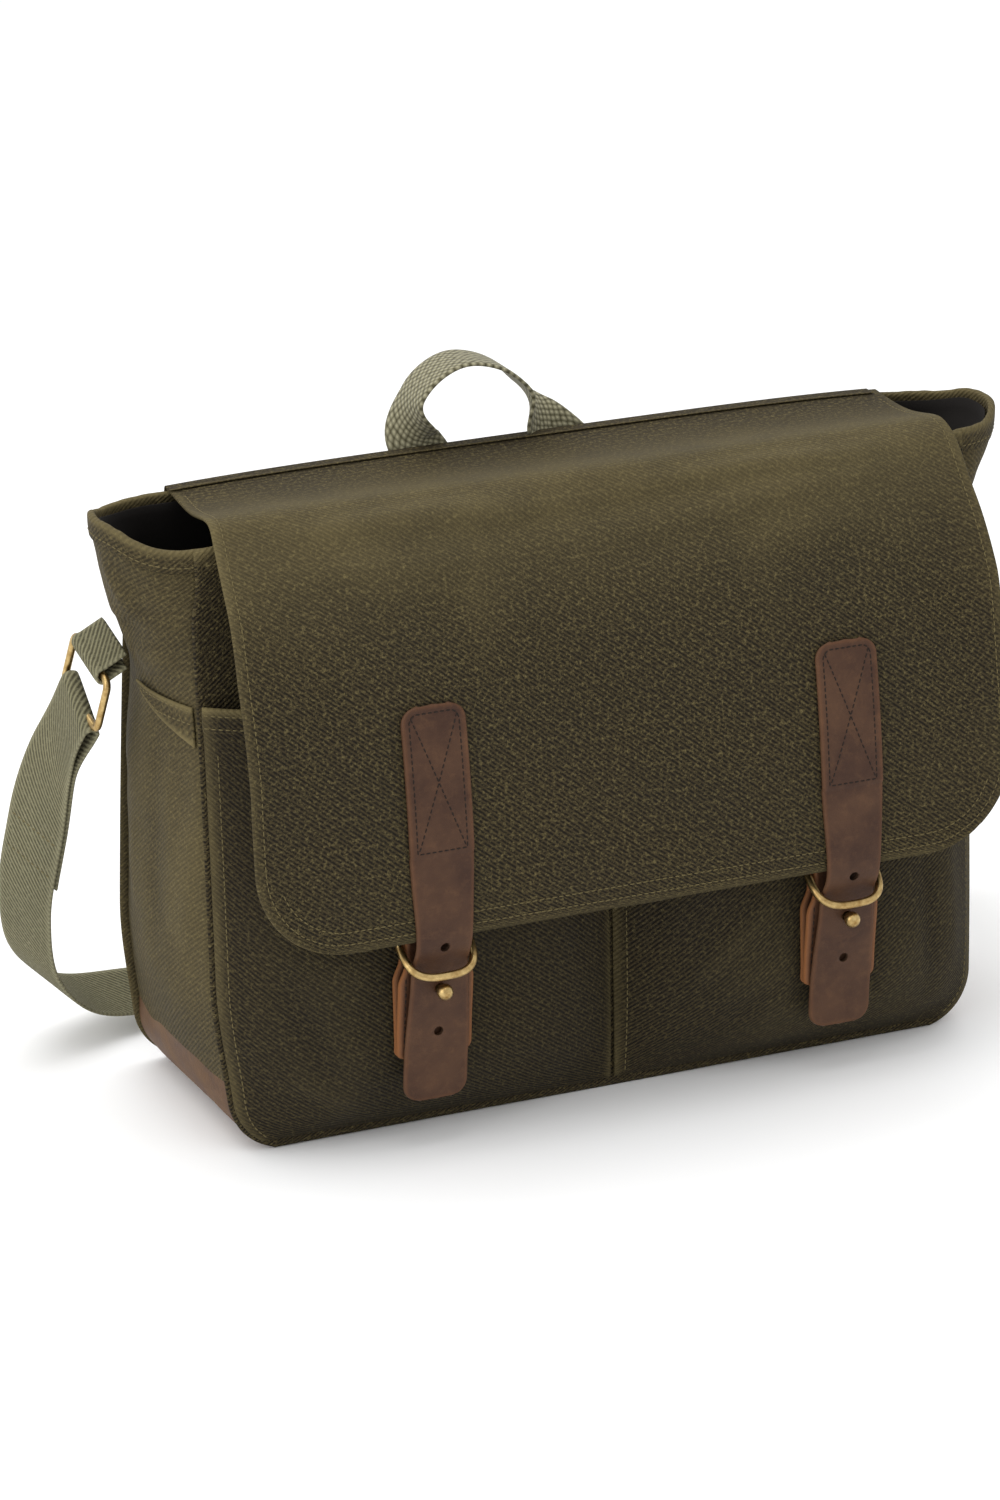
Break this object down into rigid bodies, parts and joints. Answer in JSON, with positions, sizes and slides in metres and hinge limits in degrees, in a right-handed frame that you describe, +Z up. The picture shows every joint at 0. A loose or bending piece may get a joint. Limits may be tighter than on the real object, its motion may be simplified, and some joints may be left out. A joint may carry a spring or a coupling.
{
  "type": "messenger bag",
  "caption": "Canvas messenger bag with a long front flap, buckled leather closure straps, front pockets, a leather base, a grab handle and a webbing shoulder strap.",
  "frame": {"origin": "centre of the underside of the leather base, on the floor", "axes": "+X to the bag's right as seen from the front, along its width; +Y from the front to the back; +Z up"},
  "size_m": [0.505, 0.2517, 0.35],
  "materials": {
    "waxed_canvas": "matte waxed twill, olive brown, rubbed paler along edges",
    "lining_cloth": "plain black cotton",
    "cotton_webbing": "heavy twill-woven webbing, grey green",
    "oiled_leather": "dark brown pull-up leather with raw edges",
    "aged_brass": "antique brass, satin",
    "stiffener_board": "plain board, hidden"
  },
  "bodies": {
    "bag": {"front_panel": "waxed_canvas", "back_panel": "waxed_canvas", "left_gusset": "waxed_canvas", "right_gusset": "waxed_canvas", "leather_base": "oiled_leather", "bottom_panel": "waxed_canvas", "base_board": "stiffener_board", "lining": "lining_cloth", "left_pocket": "waxed_canvas", "right_pocket": "waxed_canvas", "left_pocket_ear": "waxed_canvas", "right_pocket_ear": "waxed_canvas", "left_closure_tab": "oiled_leather", "right_closure_tab": "oiled_leather", "left_stud": "aged_brass", "right_stud": "aged_brass", "left_stud_screw": "aged_brass", "right_stud_screw": "aged_brass", "left_handle_end": "cotton_webbing", "right_handle_end": "cotton_webbing", "left_side_tab": "cotton_webbing", "right_side_tab": "cotton_webbing"},
    "flap_top": {"flap_top": "waxed_canvas", "flap_top_lining": "lining_cloth"},
    "flap_front": {"flap_front": "waxed_canvas", "flap_front_lining": "lining_cloth", "left_strap_sewn": "oiled_leather", "right_strap_sewn": "oiled_leather", "left_strap_end": "oiled_leather", "right_strap_end": "oiled_leather"},
    "handle": {"grab_handle": "cotton_webbing"},
    "carry_strap": {"shoulder_strap": "cotton_webbing", "strap_slider": "aged_brass", "left_side_ring": "aged_brass", "right_side_ring": "aged_brass"},
    "left_ring": {"left_d_ring": "aged_brass"},
    "right_ring": {"right_d_ring": "aged_brass"}
  },
  "joints": [
    {"name": "flap_hinge", "type": "hinge", "parent": "bag", "child": "flap_top", "pos_m": [0, 0.0385, 0.3115], "axis": [-1, 0, 0], "range_deg": [0, 215], "deforming": ["left_strap_end", "right_strap_end"]},
    {"name": "flap_fold", "type": "hinge", "parent": "flap_top", "child": "flap_front", "pos_m": [0, -0.0385, 0.3115], "axis": [-1, 0, 0], "range_deg": [0, 85], "deforming": ["left_strap_end", "right_strap_end"]},
    {"name": "handle_fold", "type": "hinge", "parent": "bag", "child": "handle", "pos_m": [0, 0.04302, 0.289], "axis": [-1, 0, 0], "range_deg": [0, 149]},
    {"name": "strap_swing", "type": "hinge", "parent": "bag", "child": "carry_strap", "pos_m": [0, 0.027, 0.229], "axis": [1, 0, 0], "range_deg": [0, 156], "deforming": ["left_side_tab", "right_side_tab"]},
    {"name": "left_ring_swing", "type": "hinge", "parent": "bag", "child": "left_ring", "pos_m": [-0.109, -0.0913, 0.1095], "axis": [-1, 0, 0], "range_deg": [0, 28]},
    {"name": "right_ring_swing", "type": "hinge", "parent": "bag", "child": "right_ring", "pos_m": [0.109, -0.0913, 0.1095], "axis": [-1, 0, 0], "range_deg": [0, 28]}
  ],
  "couplings": [
    {"joint": "handle_fold", "follows": "flap_hinge", "ratio": 0.69}
  ]
}
